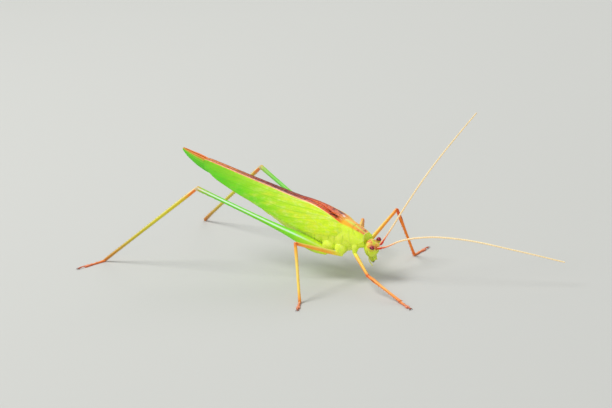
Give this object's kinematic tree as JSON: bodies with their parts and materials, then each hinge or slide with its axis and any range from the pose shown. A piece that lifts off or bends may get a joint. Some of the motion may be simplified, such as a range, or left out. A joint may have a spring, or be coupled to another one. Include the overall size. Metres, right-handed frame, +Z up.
{
  "type": "long-horned grasshopper",
  "caption": "Life-size model of a male leaf-green bush-katydid standing on its six feet, wings folded, long antennae held forward and up.",
  "frame": {"origin": "centre of the whole insect's outline, feet and antennae included, on the floor under its feet", "axes": "+X along the body toward the head, +Y to the insect's left, +Z up from the floor"},
  "size_m": [0.0738, 0.028, 0.0215],
  "materials": {
    "pronotum_shell": "satin yellow-green with orange and rust marks on the disc",
    "body_cuticle": "satin yellow-green, finely granular",
    "head_cuticle": "satin yellow-green, orange crown, dark specks",
    "fore_wing": "satin leaf green with fine veins and an orange and maroon back",
    "hind_wing": "semi-matt green folded fan",
    "eye": "glossy dark maroon",
    "jaw": "glossy dark brown",
    "palp": "satin straw yellow",
    "antenna_base": "satin red-orange",
    "antenna": "semi-matt cream-orange, finely ringed",
    "front_leg": "satin orange with yellow highlights",
    "hind_femur": "satin green with a pale upper ridge",
    "hind_tibia": "satin olive-yellow, orange near the knee",
    "foot": "satin brownish orange-red"
  },
  "bodies": {
    "root": {"pronotum": "pronotum_shell", "thorax": "body_cuticle", "abdomen": "body_cuticle", "subgenital_plate": "body_cuticle", "head": "head_cuticle", "labrum": "head_cuticle", "tegmen_right": "fore_wing", "hindwing_right": "hind_wing", "cercus_right": "body_cuticle", "eye_right": "eye", "mandible_right": "jaw", "palp_right": "palp", "antenna_right_scape": "antenna_base", "antenna_right_length_1": "antenna", "antenna_right_length_2": "antenna", "antenna_right_length_3": "antenna", "tegmen_left": "fore_wing", "hindwing_left": "hind_wing", "cercus_left": "body_cuticle", "eye_left": "eye", "mandible_left": "jaw", "palp_left": "palp", "antenna_left_scape": "antenna_base", "antenna_left_length_1": "antenna", "antenna_left_length_2": "antenna", "antenna_left_length_3": "antenna", "leg_fore_right_coxa": "body_cuticle", "leg_fore_right_femur": "front_leg", "leg_fore_right_tibia": "front_leg", "leg_fore_right_tarsus": "foot", "leg_fore_left_coxa": "body_cuticle", "leg_fore_left_femur": "front_leg", "leg_fore_left_tibia": "front_leg", "leg_fore_left_tarsus": "foot", "leg_mid_right_coxa": "body_cuticle", "leg_mid_right_femur": "front_leg", "leg_mid_right_tibia": "front_leg", "leg_mid_right_tarsus": "foot", "leg_mid_left_coxa": "body_cuticle", "leg_mid_left_femur": "front_leg", "leg_mid_left_tibia": "front_leg", "leg_mid_left_tarsus": "foot", "leg_hind_right_coxa": "body_cuticle", "leg_hind_right_femur": "hind_femur", "leg_hind_right_tibia": "hind_tibia", "leg_hind_right_tarsus": "foot", "leg_hind_left_coxa": "body_cuticle", "leg_hind_left_femur": "hind_femur", "leg_hind_left_tibia": "hind_tibia", "leg_hind_left_tarsus": "foot"}
  },
  "joints": []
}
